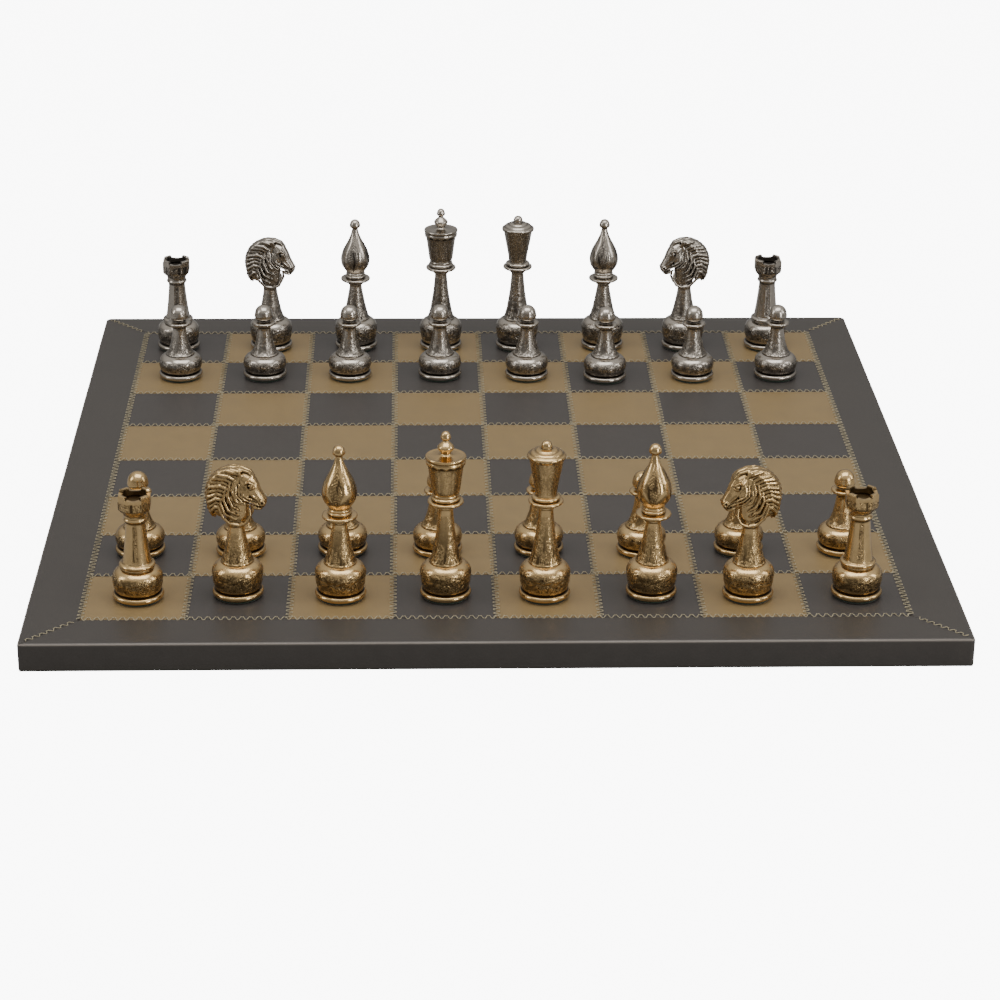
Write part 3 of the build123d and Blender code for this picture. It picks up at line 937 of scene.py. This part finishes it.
def mane_edge(angle):
    """A point of the mane's outline, which is an ellipse that trails off behind the neck."""
    trail = 2.0 * smoothstep(math.radians(195), math.radians(240), angle)
    return Vector((-2.0 + 11.0 * math.cos(angle) - trail, 47.0 + 12.2 * math.sin(angle)))


def add_mane(bm, side):
    """Locks of mane on one side: each leaves the crest, swings out and lies along the outline."""
    locks = 12
    for start, outwards, thickness in ((0.0, 2.5, 0.9), (0.5, 0.9, 1.05)):
        for index in range(locks):
            share = (index + start) / locks
            root = Vector((3.0 - 7.6 * share, 58.4 - 18.0 * share))
            angle = math.radians(108 + 142 * share)
            places = (
                root,
                root.lerp(mane_edge(angle - math.radians(34)), 0.5),
                root.lerp(mane_edge(angle - math.radians(18)), 0.84),
                mane_edge(angle),
            )
            depth = side * (outwards + 0.3 * math.sin(2.3 * index))
            spine = [(spot.x, depth * width, spot.y) for spot, width in zip(places, (1.0, 1.3, 1.0, 0.5))]
            add_limb(bm, spine, [0.5, 0.95, 0.9, 0.25], [0.7, thickness, 0.85, 0.3], 8)


# Where the horse's nostril, mouth and eye socket hold patina: (x, z, radius).
HORSE_HOLLOWS = (
    (11.9, 44.5, 0.8),
    (12.2, 42.6, 0.7),
    (11.0, 42.9, 0.7),
    (9.8, 43.3, 0.7),
    (6.4, 51.9, 1.0),
)
HEAD_CARVING = 0.3


def knight_mesh(settings):
    """The knight: the horse's head melted into one skin, on the same foot and stem as the others."""
    head = bmesh.new()
    model_horse(head)
    bmesh.ops.recalc_face_normals(head, faces=head.faces)
    source = bpy.data.meshes.new("horse")
    head.to_mesh(source)
    head.free()
    model = bpy.data.objects.new("horse", source)
    bpy.context.scene.collection.objects.link(model)
    remesh = model.modifiers.new("skin", "REMESH")
    remesh.mode = "VOXEL"
    remesh.voxel_size = settings.head_voxel
    relax = model.modifiers.new("relax", "SMOOTH")
    relax.factor = 0.5
    relax.iterations = 2
    graph = bpy.context.evaluated_depsgraph_get()
    skin = bpy.data.meshes.new_from_object(model.evaluated_get(graph))
    bpy.data.objects.remove(model)
    bpy.data.meshes.remove(source)
    outline = foot_outline(settings, *TALL_BALL)
    curve_to(outline, (5.8, 20.2), (4.8, 24.6), (3.9, 29.4), (3.4, 33.0))
    step_to(outline, (3.7, 33.3), (3.7, 34.0), (3.1, 34.4), (0.0, 34.5))
    bm = bmesh.new()
    lathe(bm, outline, settings.outline_step, settings.lathe_steps)
    set_relief(bm, knight_relief, settings)
    patina = bm.verts.layers.float["patina"]
    carving = bm.verts.layers.float["carving"]
    before = len(bm.verts)
    bm.from_mesh(skin)
    bpy.data.meshes.remove(skin)
    bm.verts.ensure_lookup_table()
    bm.normal_update()
    for vert in bm.verts[before:]:
        dark = smoothstep(0.0, 0.03, hollowness(vert))
        for x, z, radius in HORSE_HOLLOWS:
            away = math.hypot(vert.co.x - x, vert.co.z - z)
            dark = max(dark, 1 - smoothstep(0.5 * radius, radius, away))
        vert[patina] = dark
        vert[carving] = HEAD_CARVING
    return to_mesh("knight", bm)


# --- The men's meshes ----------------------------------------------------------------

TURNED = {
    "king": (king_outline, king_relief),
    "queen": (queen_outline, queen_relief),
    "bishop": (bishop_outline, bishop_relief),
    "rook": (rook_outline, rook_relief),
    "pawn": (pawn_outline, pawn_relief),
}


def turned_mesh(kind, settings):
    """A man turned from one outline, with its relief."""
    outline, relief = TURNED[kind]
    bm = bmesh.new()
    lathe(bm, outline(settings), settings.outline_step, settings.lathe_steps)
    if kind == "rook":
        battlement(bm)
    set_relief(bm, relief, settings)
    return to_mesh(kind, bm)


def men_of(kind):
    """The CAD nodes of every man of one kind."""
    return sorted(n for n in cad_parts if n.split("_")[1] == kind and not n.endswith("_felt"))


def standing_place(node):
    """Where a man stands, as a matrix from its own axis to the board."""
    foot = node + "_felt" if node + "_felt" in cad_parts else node
    low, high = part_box(foot)
    centre = Vector(((low.x + high.x) / 2, (low.y + high.y) / 2, low.z))
    turn = 0.0
    if "knight" in node:
        settings = bpy.context.scene.chess_men
        turn = settings.knight_turn_b if node.endswith("_b") else settings.knight_turn_g
    return Matrix.Translation(centre) @ Matrix.Rotation(turn, 4, "Z")


def set_up(kind, mesh):
    """Stand a copy of one kind's mesh at each of its places, gold and silver."""
    for node in men_of(kind):
        army = node.split("_")[0]
        copy = mesh.copy()
        copy.transform(standing_place(node))
        plating = material_named(PLATING[army])
        place_mesh(copy, f"{node}_casting", plating, node, [node], 38.0)
    bpy.data.meshes.remove(mesh)


def make_pads(settings):
    """A felt pad under every man, with a soft rounded rim."""
    radius, bulge, spacing, facets = 9.6, 0.35, 0.5, 48
    for node in sorted(n for kind in (*OFFICERS, "pawn") for n in men_of(kind)):
        outline = [(0.0, 0.0), (radius, 0.0)]
        arc_to(outline, (radius, settings.pad_height), bulge, 5)
        step_to(outline, (0.0, settings.pad_height))
        bm = bmesh.new()
        lathe(bm, outline, spacing, facets)
        mesh = to_mesh("pad", bm)
        mesh.transform(standing_place(node))
        felt = f"{node}_felt"
        replaced = [felt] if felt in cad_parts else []
        place_mesh(mesh, f"{node}_pad", material_named("green_felt"), node, replaced)


# --- Settings --------------------------------------------------------------------


def number(name, description, default, **more):
    """A number property."""
    return bpy.props.FloatProperty(name=name, description=description, default=default, **more)


def millimetres(name, description, default):
    """A length property, in millimetres."""
    return number(name, description, default, min=0.0, precision=3)


def whole_number(name, description, default, low):
    """A count property, with its least value."""
    return bpy.props.IntProperty(name=name, description=description, default=default, min=low)


def finish_color(name, description, hex_code):
    """A colour property, from its sRGB hex."""
    limits = {"size": 4, "min": 0.0, "max": 1.0, "subtype": "COLOR"}
    return bpy.props.FloatVectorProperty(
        name=name, description=description, default=linear_color(hex_code), **limits
    )


class ChessFinishSettings(bpy.types.PropertyGroup):
    """Colours of the leather, the thread, the felt and the plating."""

    tan_leather: finish_color("Tan leather", "Leather of the light squares", "826d4a")
    brown_leather: finish_color("Brown leather", "Leather of the dark squares", "403c39")
    border_leather: finish_color("Border leather", "Leather of the border strips", "3e3a36")
    thread: finish_color("Thread", "Sewing thread", "a2977b")
    pad_felt: finish_color("Pad felt", "Felt under the castings", "152c1d")
    lining_felt: finish_color("Lining felt", "Felt on the board's underside", "131312")
    core_board: finish_color("Core board", "Fibreboard inside the leather", "917756")
    gold: finish_color("Gold", "Gold plating where it is rubbed bright", "cdae7c")
    gold_patina: finish_color("Gold patina", "Dark patina in the gold men's engraving", "26190c")
    nickel: finish_color("Nickel", "Nickel plating where it is rubbed bright", "afa79c")
    nickel_patina: finish_color("Nickel patina", "Dark patina in the silver men's engraving", "171310")


class ChessBoardSettings(bpy.types.PropertyGroup):
    """Sizes of the board's leather and stitching, in millimetres."""

    seam_dip: millimetres("Seam dip", "How far the leather is drawn down at a seam", 0.45)
    seam_width: millimetres("Seam width", "How far from a seam the leather starts to dip", 1.4)
    ripple: millimetres("Ripple", "Height of the leather's unevenness", 0.08)
    ripple_size: millimetres("Ripple size", "Distance between the leather's uneven places", 26.0)
    wave: millimetres("Edge wave", "How far the board's edge wanders inwards", 0.25)
    wave_size: millimetres("Edge wave length", "Distance between the edge's waves", 34.0)
    edge_radius: millimetres("Edge radius", "Rounding of the board's upper edge", 1.6)
    fold_radius: millimetres("Fold radius", "Rounding of the board's lower edge", 1.2)
    corner_radius: millimetres("Corner radius", "Rounding of the board's corners", 3.0)
    lining_gap: millimetres("Lining gap", "Gap between the lining and the turned-under leather", 0.5)
    stitch_pitch: millimetres("Stitch pitch", "Length of one zigzag along a seam", 3.6)
    stitch_width: millimetres("Stitch width", "Width of the zigzag across a seam", 2.7)
    thread_thickness: millimetres("Thread thickness", "Thickness of the sewing thread", 0.34)
    thread_rise: millimetres("Thread rise", "How far the thread rises and dips at each stitch", 0.12)
    mitre_width: millimetres("Mitre stitch width", "Width of the zigzag across a mitre", 1.7)
    mitre_margin: millimetres("Mitre margin", "How far the corner stitching stops from the edge", 3.0)
    panel_divisions: whole_number("Panel divisions", "Grid cells along a playing square", 24, 4)
    section_steps: whole_number("Border steps", "Divisions across the border's top", 8, 2)
    border_divisions: whole_number("Border divisions", "Divisions along a border strip", 120, 8)


class ChessMenSettings(bpy.types.PropertyGroup):
    """How finely the castings are turned and engraved."""

    lathe_steps: whole_number("Lathe steps", "Facets round a turned casting", 120, 16)
    outline_step: millimetres("Outline step", "Distance between points of an outline", 0.45)
    pad_height: millimetres("Pad height", "Thickness of the felt pad under a casting", 1.0)
    scroll_size: millimetres("Scroll size", "Size of the engraved scrolls", 2.6)
    scroll_depth: millimetres("Scroll depth", "Depth of the engraved scrolls", 0.16)
    head_voxel: millimetres("Head detail", "Finest detail kept on the horse's head", 0.3)
    knight_turn_b: number(
        "Knight b turn", "How far the knights on file b are turned", math.radians(-8), subtype="ANGLE"
    )
    knight_turn_g: number(
        "Knight g turn", "How far the knights on file g are turned", math.radians(188), subtype="ANGLE"
    )


class ChessStageSettings(bpy.types.PropertyGroup):
    """The camera and the lights."""

    lens: number("Lens", "Focal length", 104.8, unit="CAMERA")
    camera_place: bpy.props.FloatVectorProperty(
        name="Camera place",
        description="Where the camera stands",
        default=(-0.037, -1.288, 0.5455),
        size=3,
        subtype="TRANSLATION",
        unit="LENGTH",
    )
    camera_turn: bpy.props.FloatVectorProperty(
        name="Camera turn",
        description="The camera's heading to the right, its downward pitch and its roll",
        default=(0.03396, 0.40624, 0.0095),
        size=3,
        unit="ROTATION",
    )
    key_power: number("Key light", "Overhead softbox", 11.0, unit="POWER")
    side_power: number("Side light", "Each side softbox", 3.0, unit="POWER")
    strip_power: number("Strip light", "Strip at the front", 4.0, unit="POWER")
    room_low: number("Low room", "Brightness of the room's walls", 0.22)
    room_high: number("High room", "Brightness of the ceiling", 0.7)


# --- Operators -------------------------------------------------------------------


class CHESS_OT_board_leather(bpy.types.Operator):
    """Cover the board: border strips, playing squares, core and lining"""

    bl_idname = "chess.board_leather"
    bl_label = "Board Leather"

    def execute(self, context):
        settings = context.scene.chess_board
        make_panels("light", 0, material_named("tan_leatherette"), settings)
        make_panels("dark", 1, material_named("brown_leatherette"), settings)
        make_border(settings)
        put_material("board_core", material_named("fibreboard"))
        put_material("base_lining", material_named("black_felt"))
        return {"FINISHED"}


class CHESS_OT_stitching(bpy.types.Operator):
    """Sew the zigzag stitching along the seams and the mitres"""

    bl_idname = "chess.stitching"
    bl_label = "Stitching"

    def execute(self, context):
        settings = context.scene.chess_board
        seams, mitres = settings.stitch_width, settings.mitre_width
        make_stitching("seam_thread", seam_rows(), seams, "grid_stitching", settings)
        make_stitching("mitre_thread", mitre_rows(settings), mitres, "corner_stitching", settings)
        return {"FINISHED"}


class CastMen:
    """What the operators that cast a turned man share."""

    def execute(self, context):
        set_up(self.kind, turned_mesh(self.kind, context.scene.chess_men))
        return {"FINISHED"}


class CHESS_OT_kings(CastMen, bpy.types.Operator):
    """Cast the two kings"""

    bl_idname = "chess.kings"
    bl_label = "Kings"
    kind = "king"


class CHESS_OT_queens(CastMen, bpy.types.Operator):
    """Cast the two queens"""

    bl_idname = "chess.queens"
    bl_label = "Queens"
    kind = "queen"


class CHESS_OT_bishops(CastMen, bpy.types.Operator):
    """Cast the four bishops"""

    bl_idname = "chess.bishops"
    bl_label = "Bishops"
    kind = "bishop"


class CHESS_OT_rooks(CastMen, bpy.types.Operator):
    """Cast the four rooks"""

    bl_idname = "chess.rooks"
    bl_label = "Rooks"
    kind = "rook"


class CHESS_OT_pawns(CastMen, bpy.types.Operator):
    """Cast the sixteen pawns"""

    bl_idname = "chess.pawns"
    bl_label = "Pawns"
    kind = "pawn"


class CHESS_OT_knights(bpy.types.Operator):
    """Cast the four knights"""

    bl_idname = "chess.knights"
    bl_label = "Knights"

    def execute(self, context):
        set_up("knight", knight_mesh(context.scene.chess_men))
        return {"FINISHED"}


class CHESS_OT_pads(bpy.types.Operator):
    """Glue a felt pad under every man"""

    bl_idname = "chess.pads"
    bl_label = "Felt Pads"

    def execute(self, context):
        make_pads(context.scene.chess_men)
        return {"FINISHED"}


class CHESS_OT_stage(bpy.types.Operator):
    """Set up the floor, the studio lights and the camera"""

    bl_idname = "chess.stage"
    bl_label = "Stage"

    def execute(self, context):
        settings = context.scene.chess_stage
        make_floor()
        make_lights(settings)
        make_camera(settings)
        return {"FINISHED"}


# --- Stage -----------------------------------------------------------------------

FLOOR_HALF_SIDE = 6.0
FLOOR_GREY = 0.35
FLOOR_GLOW = 9.0
# The floor lies this far below the board, in millimetres.
FLOOR_GAP = 0.2


def make_floor():
    """A plain white studio floor, a hair below the board's underside."""
    bm = bmesh.new()
    bmesh.ops.create_grid(bm, x_segments=1, y_segments=1, size=FLOOR_HALF_SIDE)
    mesh = bpy.data.meshes.new("floor")
    bm.to_mesh(mesh)
    bm.free()
    # The floor glows to the eye alone, as an overexposed sweep does, and lights nothing.
    matt = {"Base Color": (FLOOR_GREY, FLOOR_GREY, FLOOR_GREY, 1.0), "Roughness": 0.9}
    white = {"Specular IOR Level": 0.0, "Emission Color": (1.0, 1.0, 1.0, 1.0)}
    material, tree, shader = new_material("white_studio_floor", {**matt, **white})
    seen = add_node(tree, "ShaderNodeLightPath", {}).outputs["Is Camera Ray"]
    glow = calculate(tree, "MULTIPLY", seen, FLOOR_GLOW)
    tree.links.new(glow, shader.inputs["Emission Strength"])
    mesh.materials.append(material)
    floor = bpy.data.objects.new("floor", mesh)
    floor.location.z = -FLOOR_GAP * MM
    bpy.context.scene.collection.objects.link(floor)


def add_softbox(name, place, aim, size, power):
    """An area light at a place, aimed at a point."""
    light = bpy.data.lights.new(name, "AREA")
    light.shape = "RECTANGLE"
    light.size, light.size_y = size
    light.energy = power
    box = bpy.data.objects.new(name, light)
    box.location = place
    box.rotation_euler = (Vector(aim) - Vector(place)).to_track_quat("-Z", "Y").to_euler()
    bpy.context.scene.collection.objects.link(box)


def make_lights(settings):
    """A large overhead softbox, two narrow ones at the sides, and a room that darkens downwards."""
    world = bpy.data.worlds.new("studio_room")
    world.use_nodes = True
    tree = world.node_tree
    background = tree.nodes["Background"]
    background.inputs["Color"].default_value = (1.0, 0.985, 0.96, 1.0)
    toward = add_node(tree, "ShaderNodeTexCoord", {}).outputs["Generated"]
    height = add_node(tree, "ShaderNodeSeparateXYZ", {"Vector": toward}).outputs["Z"]
    ceiling = {"interpolation_type": "SMOOTHSTEP", "From Max": 0.8}
    room = {"To Min": settings.room_low, "To Max": settings.room_high}
    glow = map_range(tree, height, {**ceiling, **room})
    tree.links.new(glow, background.inputs["Strength"])
    bpy.context.scene.world = world
    add_softbox("overhead", (0.0, -0.25, 1.25), (0, 0, 0), (1.3, 0.8), settings.key_power)
    add_softbox("left", (-1.3, -0.3, 0.6), (0, 0, 0.04), (0.25, 0.8), settings.side_power)
    add_softbox("right", (1.3, -0.3, 0.6), (0, 0, 0.04), (0.25, 0.8), settings.side_power)
    add_softbox("strip", (0.85, -1.0, 0.3), (0, 0, 0.04), (0.2, 0.55), settings.strip_power)


def make_camera(settings):
    """The camera, from its heading, pitch and roll."""
    camera = bpy.data.cameras.new("camera")
    camera.sensor_width = 36.0
    camera.lens = settings.lens
    camera.clip_end = 20.0
    heading, pitch, roll = settings.camera_turn
    level_ahead = Vector((math.sin(heading), math.cos(heading), 0)) * math.cos(pitch)
    ahead = level_ahead - Vector((0, 0, math.sin(pitch)))
    level = Vector((math.cos(heading), -math.sin(heading), 0))
    rise = level.cross(ahead)
    right = level * math.cos(roll) + rise * math.sin(roll)
    up = rise * math.cos(roll) - level * math.sin(roll)
    pose = Matrix((right, up, -ahead)).transposed().to_4x4()
    viewer = bpy.data.objects.new("camera", camera)
    viewer.matrix_world = Matrix.Translation(settings.camera_place) @ pose
    bpy.context.scene.collection.objects.link(viewer)
    bpy.context.scene.camera = viewer


# --- Panel and registration --------------------------------------------------------


class CHESS_PT_panel(bpy.types.Panel):
    """Lists the steps that build the set"""

    bl_label = "Chess Set"
    bl_idname = "CHESS_PT_panel"
    bl_space_type = "VIEW_3D"
    bl_region_type = "UI"
    bl_category = "Chess Set"

    def draw(self, context):
        column = self.layout.column()
        for operator in OPERATORS:
            column.operator(operator.bl_idname)


GROUPS = {
    "chess_finish": ChessFinishSettings,
    "chess_board": ChessBoardSettings,
    "chess_men": ChessMenSettings,
    "chess_stage": ChessStageSettings,
}
OPERATORS = (
    CHESS_OT_stage,
    CHESS_OT_board_leather,
    CHESS_OT_stitching,
    CHESS_OT_kings,
    CHESS_OT_queens,
    CHESS_OT_bishops,
    CHESS_OT_knights,
    CHESS_OT_rooks,
    CHESS_OT_pawns,
    CHESS_OT_pads,
)


def register():
    for name, group in GROUPS.items():
        bpy.utils.register_class(group)
        setattr(bpy.types.Scene, name, bpy.props.PointerProperty(type=group))
    for operator in OPERATORS:
        bpy.utils.register_class(operator)
    bpy.utils.register_class(CHESS_PT_panel)


def unregister():
    bpy.utils.unregister_class(CHESS_PT_panel)
    for operator in reversed(OPERATORS):
        bpy.utils.unregister_class(operator)
    for name, group in reversed(GROUPS.items()):
        delattr(bpy.types.Scene, name)
        bpy.utils.unregister_class(group)


def main():
    """Build the whole set around its frame."""
    register()
    bpy.ops.chess.stage()
    bpy.ops.chess.board_leather()
    bpy.ops.chess.stitching()
    bpy.ops.chess.kings()
    bpy.ops.chess.queens()
    bpy.ops.chess.bishops()
    bpy.ops.chess.knights()
    bpy.ops.chess.rooks()
    bpy.ops.chess.pawns()
    bpy.ops.chess.pads()


if __name__ == "__main__":
    main()
